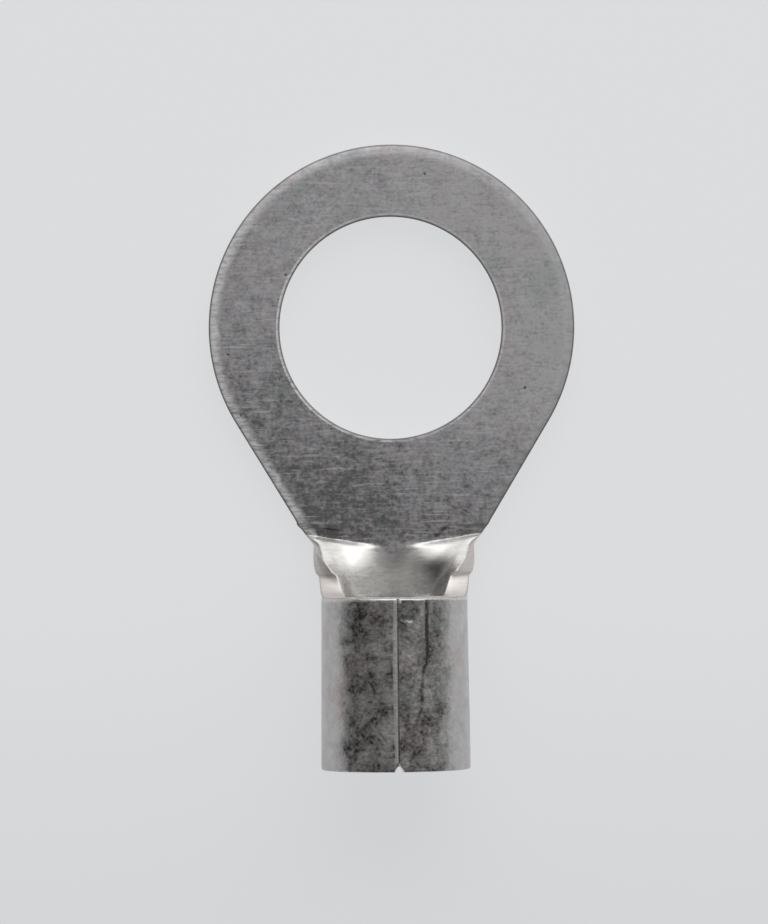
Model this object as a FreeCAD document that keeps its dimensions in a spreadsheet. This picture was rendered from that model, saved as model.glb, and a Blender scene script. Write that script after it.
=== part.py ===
import FreeCAD, Part
from math import asin, atan2, cos, pi, radians, sin, sqrt
import os
import Sketcher

# A bare ring terminal, punched and rolled from one copper strip. It lies on its underside:
# the origin is the centre of the stud hole on the underside, +Z is up along the hole,
# +Y points to the tip of the ring and the wire barrel runs towards -Y.

NODE = "ring_terminal"

# Name, value in millimetres or degrees, what it is.
SIZES = (
    ("stockThickness", 0.9, "thickness of the copper strip"),
    ("studHoleDiameter", 8.4, "hole in the ring, clear of an 8 mm stud"),
    ("ringDiameter", 13.84, "outside of the ring"),
    ("taperAngle", 31.0, "slope of each side of the tongue from the centre line"),
    ("neckHalfWidth", 3.0, "half the flat strip's width at the neck"),
    ("curlLead", 0.603, "how far before the end of the taper the strip starts to curl up"),
    ("creaseDepth", 0.44, "how far beyond that start the middle of the curved crease lies"),
    ("creaseRadius", 10.0, "radius of the crease, seen from above"),
    ("curlEase", 0.25, "how much faster the strip curls at the crease than at the rim"),
    ("neckLength", 1.7, "end of the taper to the barrel's front rim"),
    ("shoulderStep", 0.22, "how far each edge of the neck steps in before its shoulder"),
    ("shoulderRadius", 0.9, "inside corner of the flat strip between neck and barrel"),
    ("barrelBore", 3.7, "inside diameter of the wire barrel"),
    ("barrelLength", 6.49, "front rim to wire end"),
    ("barrelEdgeBreak", 0.12, "bevel on the edges of the barrel's two ends"),
    ("seamFrontGap", 0.08, "gap between the rolled edges at the front rim"),
    ("seamRearGap", 0.19, "the same gap at the wire end"),
    ("seamMouthGap", 0.34, "gap between the rounded corners at the wire end"),
    ("seamMouthDepth", 0.3, "length of those corners along the seam"),
    ("punchRollover", 0.3, "rounding that the punch leaves along the upper edge"),
    ("holeEdgeBreak", 0.15, "bevel on the stud hole's upper edge"),
)

# Lengths that follow from those, as expressions.
RING_RADIUS = "(Sizes.ringDiameter / 2)"
BORE_RADIUS = "(Sizes.barrelBore / 2)"
OUTER_RADIUS = f"({BORE_RADIUS} + Sizes.stockThickness)"
MIDDLE_RADIUS = f"({BORE_RADIUS} + Sizes.stockThickness / 2)"
TAPER_SLOPE = "(Sizes.taperAngle * 1 deg)"
STEPPED_HALF_WIDTH = "(Sizes.neckHalfWidth - Sizes.shoulderStep)"

# Distances from the centre of the stud hole towards the barrel.
TAPER_END = f"(({RING_RADIUS} - Sizes.neckHalfWidth * cos({TAPER_SLOPE})) / sin({TAPER_SLOPE}))"
CURL_START = f"({TAPER_END} - Sizes.curlLead)"
CREASE_MIDDLE = f"({CURL_START} + Sizes.creaseDepth)"
RIM = f"({TAPER_END} + Sizes.neckLength)"
STEP = f"({RIM} - Sizes.shoulderRadius)"
LIP_END = f"({RIM} + Sizes.barrelEdgeBreak)"
WIRE_END = f"({RIM} + Sizes.barrelLength)"

# Places closer together than this, in millimetres, are the same place.
NEARBY = 1e-6

# Sketcher's numbers for the origin, the two axes and the points of an edge.
ORIGIN, X_AXIS, Y_AXIS = -1, -1, -2
START, END, CENTRE = range(1, 4)

document = FreeCAD.newDocument("RingTerminal")
sheet = document.addObject("Spreadsheet::Sheet", "Sizes")
for row, (name, value, meaning) in enumerate(SIZES, start=1):
    sheet.set(f"A{row}", name)
    sheet.set(f"B{row}", str(value))
    sheet.set(f"C{row}", meaning)
    sheet.setAlias(f"B{row}", name)
document.recompute()

body = document.addObject("PartDesign::Body", "RingTerminal")
body.Label = NODE


def measure(expression):
    """The present value of an expression on the sheet's cells."""
    return float(body.evalExpression(expression))


def taperHalfWidth(distance):
    """Half the tongue's width at a distance from the hole: its sides are tangent to the ring."""
    return f"(({RING_RADIUS} - {distance} * sin({TAPER_SLOPE})) / cos({TAPER_SLOPE}))"


def newSketch(name, role, offset="0"):
    """A sketch on one of the body's planes, moved along that plane's normal."""
    sketch = body.newObject("Sketcher::SketchObject", name)
    plane = next(plane for plane in body.Origin.OriginFeatures if plane.Role == role)
    sketch.AttachmentSupport = (plane, [""])
    sketch.MapMode = "FlatFace"
    sketch.setExpression("AttachmentOffset.Base.z", offset)
    return sketch


def constrain(sketch, fixed, driven):
    """Adds all of a sketch's constraints at once, and ties each named one to its expression."""
    constraints = [Sketcher.Constraint(*constraint) for constraint in fixed]
    for _, constraint, expression in driven:
        value = measure(expression)
        if constraint[0] == "Angle":
            value = radians(value)
        constraints.append(Sketcher.Constraint(*constraint, value))
    numbers = sketch.addConstraint(constraints)
    for number, (name, _, expression) in zip(numbers[len(fixed) :], driven):
        sketch.renameConstraint(number, name)
        sketch.setExpression(f"Constraints.{name}", expression)


def point(x, y):
    return FreeCAD.Vector(x, y, 0)


def line(start, end):
    return Part.LineSegment(start, end)


def arc(centre, radius, fromAngle, toAngle):
    circle = Part.Circle(centre, FreeCAD.Vector(0, 0, 1), radius)
    return Part.ArcOfCircle(circle, fromAngle, toAngle)


def closedOutline(sketch, corners):
    """Straight sides from corner to corner and back to the first, and what joins them."""
    following = corners[1:] + corners[:1]
    sides = sketch.addGeometry([line(here, there) for here, there in zip(corners, following)], False)
    joints = [("Coincident", side, END, nextSide, START) for side, nextSide in zip(sides, sides[1:] + sides[:1])]
    return sides, joints


def addTongue():
    """The flat ring and its tapering tongue, as far as the neck."""
    sketch = newSketch("TongueOutline", "XY_Plane")
    radius, slope = measure(RING_RADIUS), radians(measure("Sizes.taperAngle"))
    neck = measure(CURL_START)
    half = measure(taperHalfWidth(CURL_START))
    touch = point(radius * cos(slope), -radius * sin(slope))
    ring, right, end, left = sketch.addGeometry(
        [
            arc(point(0, 0), radius, -slope, pi + slope),
            line(touch, point(half, -neck)),
            line(point(half, -neck), point(-half, -neck)),
            line(point(-half, -neck), point(-touch.x, touch.y)),
        ],
        False,
    )
    fixed = [
        ("Coincident", ring, CENTRE, ORIGIN, START),
        ("Tangent", ring, START, right, START),
        ("Coincident", right, END, end, START),
        ("Coincident", end, END, left, START),
        ("Tangent", left, END, ring, END),
        ("Symmetric", end, START, end, END, Y_AXIS),
    ]
    driven = [
        ("ringRadius", ("Radius", ring), RING_RADIUS),
        ("neck", ("DistanceY", end, START, ORIGIN, START), CURL_START),
        ("halfWidth", ("DistanceX", ORIGIN, START, end, START), taperHalfWidth(CURL_START)),
    ]
    constrain(sketch, fixed, driven)
    pad = body.newObject("PartDesign::Pad", "Tongue")
    pad.Profile = sketch
    pad.setExpression("Length", "Sizes.stockThickness")
    return pad


def addTongueRollover():
    """The rounding along the tongue's upper edge, except across the neck."""
    neck = -measure(CURL_START)
    fillet = addEdgeFeature("PartDesign::Fillet", "TongueRollover", lambda middle: middle.y > neck + NEARBY)
    fillet.setExpression("Radius", "Sizes.punchRollover")
    return fillet


def addStudHole():
    sketch = newSketch("StudHoleOutline", "XY_Plane")
    radius = measure("Sizes.studHoleDiameter / 2")
    circle = sketch.addGeometry(Part.Circle(point(0, 0), FreeCAD.Vector(0, 0, 1), radius), False)
    fixed = [("Coincident", circle, CENTRE, ORIGIN, START)]
    constrain(sketch, fixed, [("diameter", ("Diameter", circle), "Sizes.studHoleDiameter")])
    return addPocket("StudHole", sketch)


def addHoleBevel():
    reach = measure("(Sizes.studHoleDiameter + Sizes.ringDiameter) / 4")
    chamfer = addEdgeFeature("PartDesign::Chamfer", "HoleBevel", lambda middle: middle.Length < reach)
    chamfer.setExpression("Size", "Sizes.holeEdgeBreak")
    return chamfer


def addEdgeFeature(kind, name, wanted):
    """Breaks the edges of the tongue's upper face whose middle is wanted."""
    top = measure("Sizes.stockThickness")
    base = body.Tip
    chosen = []
    for number, edge in enumerate(base.Shape.Edges, start=1):
        middle = edge.valueAt((edge.FirstParameter + edge.LastParameter) / 2)
        level = max(abs(vertex.Z - top) for vertex in edge.Vertexes)
        if level < NEARBY and abs(middle.z - top) < NEARBY and wanted(middle):
            chosen.append(f"Edge{number}")
    feature = body.newObject(kind, name)
    feature.Base = (base, chosen)
    return feature


def curledSection(name, distance, halfWidth, rollover):
    """The strip where it is curled to an arc, at a distance from the stud hole.

    It keeps its width along its middle line, and its cut edges stay square to it. Its
    curvature grows from nothing where it leaves the tongue to the barrel's own at the rim.
    """
    share = f"(({distance} - {CURL_START}) / ({RIM} - {CURL_START}))"
    curl = f"({share} * (1 + Sizes.curlEase * (1 - {share})))"
    middle = f"({MIDDLE_RADIUS} / {curl})"
    outside = f"({middle} + Sizes.stockThickness / 2)"
    inside = f"({middle} - Sizes.stockThickness / 2)"

    sketch = newSketch(name, "XZ_Plane", distance)
    big, small, corner = measure(outside), measure(inside), measure(rollover)
    turn = measure(f"{halfWidth} / {middle}")
    turned = turn - asin(corner / (small + corner))
    axis = point(0, big)
    cornerAxis = (small + corner) * point(sin(turned), -cos(turned))
    cutEnd = sqrt((small + corner) ** 2 - corner**2) * point(sin(turn), -cos(turn))
    outerEnd = big * point(sin(turn), -cos(turn))

    def mirrored(place):
        return point(-place.x, place.y)

    outer, right, rightCorner, inner, leftCorner, left = sketch.addGeometry(
        [
            arc(axis, big, -pi / 2 - turn, -pi / 2 + turn),
            line(axis + outerEnd, axis + cutEnd),
            arc(axis + cornerAxis, corner, turn, turned + pi / 2),
            arc(axis, small, -pi / 2 - turned, -pi / 2 + turned),
            arc(axis + mirrored(cornerAxis), corner, pi / 2 - turned, pi - turn),
            line(axis + mirrored(cutEnd), axis + mirrored(outerEnd)),
        ],
        False,
    )
    fixed = [
        ("PointOnObject", outer, CENTRE, Y_AXIS),
        ("Coincident", outer, CENTRE, inner, CENTRE),
        ("Coincident", outer, END, right, START),
        ("Tangent", right, END, rightCorner, START),
        ("Tangent", rightCorner, END, inner, END),
        ("Tangent", inner, START, leftCorner, START),
        ("Tangent", leftCorner, END, left, START),
        ("Coincident", left, END, outer, START),
        ("Horizontal", outer, START, outer, END),
        ("PointOnObject", outer, CENTRE, right),
        ("PointOnObject", outer, CENTRE, left),
        ("Equal", rightCorner, leftCorner),
    ]
    driven = [
        ("axisHeight", ("DistanceY", ORIGIN, START, outer, CENTRE), outside),
        ("outerRadius", ("Radius", outer), outside),
        ("innerRadius", ("Radius", inner), inside),
        ("rollover", ("Radius", rightCorner), rollover),
        ("turn", ("Angle", right), f"90 deg + {halfWidth} / {middle} * 1 rad"),
    ]
    constrain(sketch, fixed, driven)
    return sketch


def addLoft(name, profile, sections):
    loft = body.newObject("PartDesign::AdditiveLoft", name)
    loft.Profile = profile
    loft.Sections = sections
    return loft


def tongueEnd():
    """The face in which the flat tongue ends, across the neck."""
    tongue = document.getObject("TongueRollover")
    neck = -measure(CURL_START)
    for number, face in enumerate(tongue.Shape.Faces, start=1):
        if face.BoundBox.YMax < neck + NEARBY:
            return tongue, [f"Face{number}"]
    raise RuntimeError("the tongue has no end face")


def addNeck(steps=3):
    """The strip from the end of the flat tongue to the step before the shoulder.

    It keeps the tongue's taper until it is down to the neck's own width.
    """
    sections = []
    for nearEnd, farEnd in ((CURL_START, TAPER_END), (TAPER_END, STEP)):
        for count in range(1, steps + 1):
            distance = f"({nearEnd} + ({farEnd} - {nearEnd}) * {count} / {steps})"
            halfWidth = f"max({taperHalfWidth(distance)}; Sizes.neckHalfWidth)"
            name = f"NeckSection{len(sections) + 1}"
            sections.append(curledSection(name, distance, halfWidth, "Sizes.punchRollover"))
    return addLoft("Neck", tongueEnd(), sections)


def addShoulder(steps=4):
    """The rounded inside corner of the strip, where the neck widens into the barrel."""
    sections = []
    for count in range(steps + 1):
        turn = f"(90 deg * {count} / {steps})"
        distance = f"({STEP} + Sizes.shoulderRadius * sin({turn}))"
        halfWidth = f"({STEPPED_HALF_WIDTH} + Sizes.shoulderRadius * (1 - cos({turn})))"
        rollover = f"(Sizes.punchRollover * (1 - {count} / {2 * steps}))"
        sections.append(curledSection(f"ShoulderSection{count}", distance, halfWidth, rollover))
    return addLoft("Shoulder", sections[0], sections[1:])


def addPocket(name, sketch):
    """A cut from the sketch upwards, right through."""
    pocket = body.newObject("PartDesign::Pocket", name)
    pocket.Profile = sketch
    pocket.Type = "ThroughAll"
    pocket.Reversed = True
    return pocket


def addRimStretch():
    """The last stretch of the neck, level with the bevelled lip of the barrel."""
    stretch = body.newObject("PartDesign::Pad", "RimStretch")
    lastSection, _ = document.getObject("Shoulder").Sections[-1]
    stretch.Profile = lastSection
    stretch.setExpression("Length", "Sizes.barrelEdgeBreak")
    return stretch


def addBarrel():
    """The rolled tube from behind its front lip to the wire end, turned about the barrel's axis."""
    sketch = newSketch("BarrelWall", "YZ_Plane")
    front, end = -measure(LIP_END), -measure(WIRE_END)
    thick, height = measure("Sizes.stockThickness"), measure(OUTER_RADIUS)
    bevel = measure("Sizes.barrelEdgeBreak")
    corners = [
        point(end + bevel, 0),
        point(front, 0),
        point(front, thick),
        point(end + bevel, thick),
        point(end, thick - bevel),
        point(end, bevel),
    ]
    sides, joints = closedOutline(sketch, corners)
    outside, frontFace, inside, innerBevel, endFace, outerBevel = sides
    axis = sketch.addGeometry(line(point(front, height), point(end, height)), True)
    fixed = joints + [
        ("PointOnObject", outside, START, X_AXIS),
        ("PointOnObject", outside, END, X_AXIS),
        ("Horizontal", inside),
        ("Vertical", frontFace),
        ("Vertical", endFace),
        ("Angle", innerBevel, -3 * pi / 4),
        ("Angle", outerBevel, -pi / 4),
        ("Equal", innerBevel, outerBevel),
        ("Horizontal", axis),
        ("Vertical", frontFace, START, axis, START),
        ("Vertical", endFace, START, axis, END),
    ]
    driven = [
        ("front", ("DistanceX", frontFace, START, ORIGIN, START), LIP_END),
        ("end", ("DistanceX", endFace, START, ORIGIN, START), WIRE_END),
        ("wall", ("DistanceY", outside, END, inside, START), "Sizes.stockThickness"),
        ("edgeBreak", ("DistanceX", endFace, START, innerBevel, START), "Sizes.barrelEdgeBreak"),
        ("axisHeight", ("DistanceY", ORIGIN, START, axis, START), OUTER_RADIUS),
    ]
    constrain(sketch, fixed, driven)
    barrel = body.newObject("PartDesign::Revolution", "Barrel")
    barrel.Profile = sketch
    barrel.ReferenceAxis = (sketch, ["Axis0"])
    barrel.Angle = 360
    return barrel


def addRimLip():
    """The bevelled front lip of the barrel, over the top from one edge of the neck to the other.

    Each of its ends reaches into the neck by three times the bevel, past the neck's own rounding.
    """
    sketch = newSketch("RimLipWall", "YZ_Plane")
    rim, back = -measure(RIM), -measure(LIP_END)
    height, inner, outer = measure(OUTER_RADIUS), measure(BORE_RADIUS), measure(OUTER_RADIUS)
    bevel = measure("Sizes.barrelEdgeBreak")
    corners = [
        point(back, height + inner),
        point(rim, height + inner + bevel),
        point(rim, height + outer - bevel),
        point(back, height + outer),
    ]
    sides, joints = closedOutline(sketch, corners)
    innerBevel, rimFace, outerBevel, backFace = sides
    axis = sketch.addGeometry(line(point(back, height), point(rim, height)), True)
    fixed = joints + [
        ("Vertical", rimFace),
        ("Vertical", backFace),
        ("Equal", innerBevel, outerBevel),
        ("Angle", innerBevel, pi / 4),
        ("Horizontal", axis),
        ("Vertical", backFace, END, axis, START),
        ("Vertical", rimFace, START, axis, END),
    ]
    driven = [
        ("rim", ("DistanceX", rimFace, START, ORIGIN, START), RIM),
        ("depth", ("DistanceX", innerBevel, START, innerBevel, END), "Sizes.barrelEdgeBreak"),
        ("axisHeight", ("DistanceY", ORIGIN, START, axis, START), OUTER_RADIUS),
        ("boreRadius", ("DistanceY", axis, START, backFace, END), BORE_RADIUS),
        ("outerRadius", ("DistanceY", axis, START, backFace, START), OUTER_RADIUS),
    ]
    constrain(sketch, fixed, driven)
    lip = body.newObject("PartDesign::Revolution", "RimLip")
    lip.Profile = sketch
    lip.ReferenceAxis = (sketch, ["Axis0"])
    lip.Midplane = True
    neckTurn = f"({STEPPED_HALF_WIDTH} + Sizes.shoulderRadius) / {MIDDLE_RADIUS}"
    overlap = f"3 * Sizes.barrelEdgeBreak / {BORE_RADIUS}"
    lip.setExpression("Angle", f"360 deg - 2 * ({neckTurn} - {overlap}) * 1 rad")
    return lip


def addSeam():
    """The open seam along the top of the barrel, where the two rolled edges nearly meet."""
    sketch = newSketch("SeamOutline", "XY_Plane", OUTER_RADIUS)
    rim, end = -measure(RIM), -measure(WIRE_END)
    front, rear = measure("Sizes.seamFrontGap / 2"), measure("Sizes.seamRearGap / 2")
    mouth = measure("Sizes.seamMouthGap / 2")
    right = [point(front, rim), point(rear, end + measure("Sizes.seamMouthDepth")), point(mouth, end)]
    corners = right + [point(-corner.x, corner.y) for corner in reversed(right)]
    sides, joints = closedOutline(sketch, corners)
    pairs = zip(sides[:3], reversed(sides[3:]))
    fixed = joints + [("Symmetric", here, START, there, START, Y_AXIS) for here, there in pairs]
    places = (
        ("front", "Sizes.seamFrontGap", RIM),
        ("rear", "Sizes.seamRearGap", f"{WIRE_END} - Sizes.seamMouthDepth"),
        ("mouth", "Sizes.seamMouthGap", WIRE_END),
    )
    driven = []
    for side, (name, gap, distance) in zip(sides, places):
        driven.append((f"{name}Gap", ("DistanceX", ORIGIN, START, side, START), f"{gap} / 2"))
        driven.append((f"{name}Place", ("DistanceY", side, START, ORIGIN, START), distance))
    constrain(sketch, fixed, driven)
    return addPocket("Seam", sketch)


def addCrease():
    """The curved line where the flattened tongue ends: nothing of the neck stands above it."""
    sketch = newSketch("CreaseOutline", "XY_Plane", "Sizes.stockThickness")
    radius, depth = measure("Sizes.creaseRadius"), measure("Sizes.creaseDepth")
    start = measure(CURL_START)
    reach = sqrt(radius**2 - (radius - depth) ** 2)
    middle = point(0, radius - depth - start)
    swing = atan2(reach, radius - depth)
    bend, chord = sketch.addGeometry(
        [
            arc(middle, radius, -pi / 2 - swing, -pi / 2 + swing),
            line(point(reach, -start), point(-reach, -start)),
        ],
        False,
    )
    fixed = [
        ("PointOnObject", bend, CENTRE, Y_AXIS),
        ("Coincident", bend, END, chord, START),
        ("Coincident", chord, END, bend, START),
        ("Horizontal", chord),
    ]
    driven = [
        ("radius", ("Radius", bend), "Sizes.creaseRadius"),
        ("start", ("DistanceY", chord, START, ORIGIN, START), CURL_START),
        ("middle", ("DistanceY", ORIGIN, START, bend, CENTRE), f"Sizes.creaseRadius - {CREASE_MIDDLE}"),
    ]
    constrain(sketch, fixed, driven)
    return addPocket("Crease", sketch)


FEATURES = (
    (addTongue, 1),
    (addTongueRollover, -1),
    (addStudHole, -1),
    (addHoleBevel, -1),
    (addNeck, 1),
    (addShoulder, 1),
    (addRimStretch, 1),
    (addBarrel, 1),
    (addRimLip, 1),
    (addSeam, -1),
    (addCrease, -1),
)
volume = 0
for addFeature, direction in FEATURES:
    feature = addFeature()
    document.recompute()
    change = feature.Shape.Volume - volume
    volume = feature.Shape.Volume
    print(f"{feature.Name:15s} {change:+9.3f} mm3, {len(feature.Shape.Faces)} faces")
    if change * direction <= 0:
        raise RuntimeError(f"{feature.Name} changed the volume the wrong way")

for item in document.Objects:
    if "Invalid" in item.State or "Error" in item.State:
        raise RuntimeError(f"{item.Name} failed: {item.State}")
shape = body.Shape
if shape.isNull() or not shape.isValid() or len(shape.Solids) != 1:
    raise RuntimeError("the terminal is not one valid solid")

os.makedirs("parts", exist_ok=True)
shape.exportStep(f"parts/{NODE}.step")
extent = shape.optimalBoundingBox()
print(f"{extent.XLength:.2f} x {extent.YLength:.2f} x {extent.ZLength:.2f} mm, {shape.Volume:.3f} mm3")
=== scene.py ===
import math

import bmesh
import bpy
import mathutils
import numpy as np
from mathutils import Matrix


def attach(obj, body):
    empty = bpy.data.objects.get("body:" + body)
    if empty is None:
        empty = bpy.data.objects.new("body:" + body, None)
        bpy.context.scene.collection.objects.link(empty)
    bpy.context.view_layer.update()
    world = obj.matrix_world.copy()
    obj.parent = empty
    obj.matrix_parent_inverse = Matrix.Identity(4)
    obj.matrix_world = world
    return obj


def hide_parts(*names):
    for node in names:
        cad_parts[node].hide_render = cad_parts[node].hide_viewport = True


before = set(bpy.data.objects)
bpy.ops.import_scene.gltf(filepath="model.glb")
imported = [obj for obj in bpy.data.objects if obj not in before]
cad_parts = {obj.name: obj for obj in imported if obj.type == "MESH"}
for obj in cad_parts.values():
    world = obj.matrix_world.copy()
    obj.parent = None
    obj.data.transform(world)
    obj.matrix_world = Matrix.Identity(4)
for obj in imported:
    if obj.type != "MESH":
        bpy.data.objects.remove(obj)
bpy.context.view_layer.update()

mm = 0.001

print("stage 1: the sheet and its outline")

# The terminal is one punched strip, so it is worked out flat and then rolled. On the flat sheet
# x runs across, s runs from the hole's centre towards the wire end, and h is the height in the
# strip, all in mm. The right side is worked out and mirrored, with the left one's own values.
sheet = {
    "thick": 0.9,
    "holeRadius": 4.2,
    "holeShift": (-0.038, 0.015),   # the hole was punched a little off the ring's centre
    "ringRadius": 6.92,
    "taperAngle": 31.0,
    "taperDraw": 0.07,      # how far the foot of the taper is drawn in by the curl
    "neckHalf": 3.12,
    "neckFillet": 0.3,
    "chordAt": 7.2,         # where the rays round the hole hand over to straight rows
    "curlAt": 7.84,         # where the strip starts to roll up
    "curlEase": 0.25,       # how much faster it rolls there than at the rim
    "stepAt": 9.4,
    "stepLength": 0.16,
    "step": 0.17,
    "shoulderAt": 9.243,
    "shoulderRadius": 0.9,
    "rimAt": 10.143,
    "rimWave": (0.02, 0.55),        # height and length of the rim's unevenness
    "rimWaveFrom": (3.6, 0.8),      # it starts beside the shoulder
    "rimWaveTo": (0.15, 0.4),       # and ends short of the seam
    "rollAlike": 0.6,       # from this far before the rim on both faces roll alike
    "endAt": 16.633,
    "frontRadius": 2.74,    # outside of the barrel at the rim
    "rearRadius": 2.81,     # and at the wire end, where it flares a little
    "seamShift": 0.11,      # the left wing reaches past the middle, so the seam lies to its right
    "frontGap": 0.004,
    "rearGap": 0.02,
    "mouthGap": 0.3,
    "mouthLength": 0.32,
    "bulgeAt": 7.47,        # a small bulge on each side, beside the crease
    "bulgeLength": 0.1,
    "bulgeLeft": 0.05,
    "bulgeRight": 0.015,
}

# Along the outline: width of the edge band, how deep its upper side is rolled, the round of its
# lower corner, and how far the torn lower part of the cut leans in
edge = {
    "ringBand": 0.46, "ringRoll": 0.065, "ringBreak": 0.04, "ringTear": 0.05,
    "neckBand": 0.36, "neckRoll": 0.3, "neckBreak": 0.06, "neckTear": 0.09,
    "rimBand": 0.26, "rimRoll": 0.05, "rimBreak": 0.13, "rimTear": 0.0,
    "seamBand": 0.32, "seamRoll": 0.05, "seamBreakLeft": 0.09, "seamBreakRight": 0.02, "seamTear": 0.0,
    "endBand": 0.3, "endRoll": 0.06, "endBreak": 0.1, "endTear": 0.0,
    "holeBand": 0.14, "holeRoll": 0.03, "holeBreak": 0.03, "holeTear": 0.04,
    "rollFade": (8.55, 9.15),       # along the neck's sides the rolled edge dies out between these
    "tearFrom": (0.2, 0.8),         # the wall leans in below its first fifth
    "unevenNeck": 0.08,             # share by which the roll's depth varies on the neck
    "unevenMore": (0.22, 7.6, -0.6),    # and how much more on the ring, from there on
    "unevenLength": 0.35,
    "unevenEnds": 0.6,              # it dies out where the two sides meet
    "darkFrom": (8.4, 0.3),         # painted shade: the dark stripe on the left cut, where its rolled top faces the dark left: along it, and below its top
    "darkTo": (9.5, -0.15),
    "darkDepth": (0.62, -0.2),
}

rows = {
    "ring": 112, "taper": 36, "neckTop": 34, "fillet": 5, "neck": 17, "shoulder": 24,
    "wing": 50, "barrel": 92, "centre": 32, "radial": 28,
    "rollover": 9, "wall": 6, "corner": 3, "under": 4,
    "ease": 3,      # over which the edge changes at the seam's two corners
}

seeds = {"top": 3, "under": 5, "roll": 11, "rim": 21}


def smooth(v):
    # 0 below 0, 1 above 1, and three v squared minus two v cubed between
    v = np.clip(v, 0.0, 1.0)
    return v * v * (3.0 - 2.0 * v)


def fade(v, start, length):
    # Goes smoothly from 0 at start to 1 a length further on, or further back if it is negative
    return smooth((v - start) / length)


def waves(a, b, size, seed, count=10):
    # Sum of sine waves in seeded directions, each about size mm long, about -1 to 1
    rng = np.random.default_rng(seed)
    total = np.zeros(np.broadcast(a, b).shape)
    for turn, phase, stretch in rng.random((count, 3)):
        rate = 2 * math.pi / (size * (0.6 + 0.9 * stretch))
        way = a * math.cos(math.pi * turn) + b * math.sin(math.pi * turn)
        total += np.sin(rate * way + 2 * math.pi * phase)
    return total / math.sqrt(count * 2)


def alongBarrel(s):
    # 0 at the rim and before it, 1 at the wire end
    return np.clip((s - sheet["rimAt"]) / (sheet["endAt"] - sheet["rimAt"]), 0.0, 1.0)


def outerRadius(s):
    # The barrel's outside radius grows evenly from the rim to the wire end
    return sheet["frontRadius"] + alongBarrel(s) * (sheet["rearRadius"] - sheet["frontRadius"])


def curl(s):
    # Curvature of the strip's middle: none on the tongue, u (1 + ease (1 - u)) times the barrel's
    # in the neck, and one over the middle radius in the barrel
    u = np.clip((s - sheet["curlAt"]) / (sheet["rimAt"] - sheet["curlAt"]), 0.0, 1.0)
    return u * (1.0 + sheet["curlEase"] * (1.0 - u)) / (outerRadius(s) - sheet["thick"] / 2)


def seamHalf(s, side):
    # Width of a wing of the barrel: half the middle circle less half the seam's gap, and the
    # seam's shift on top of it for the left wing, off it for the right one
    gap = sheet["frontGap"] + alongBarrel(s) * (sheet["rearGap"] - sheet["frontGap"])
    mouth = smooth((s - sheet["endAt"] + sheet["mouthLength"]) / sheet["mouthLength"])
    gap = gap + mouth * (sheet["mouthGap"] - sheet["rearGap"])
    return math.pi * (outerRadius(s) - sheet["thick"] / 2) - gap / 2 - side * sheet["seamShift"]


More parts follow.
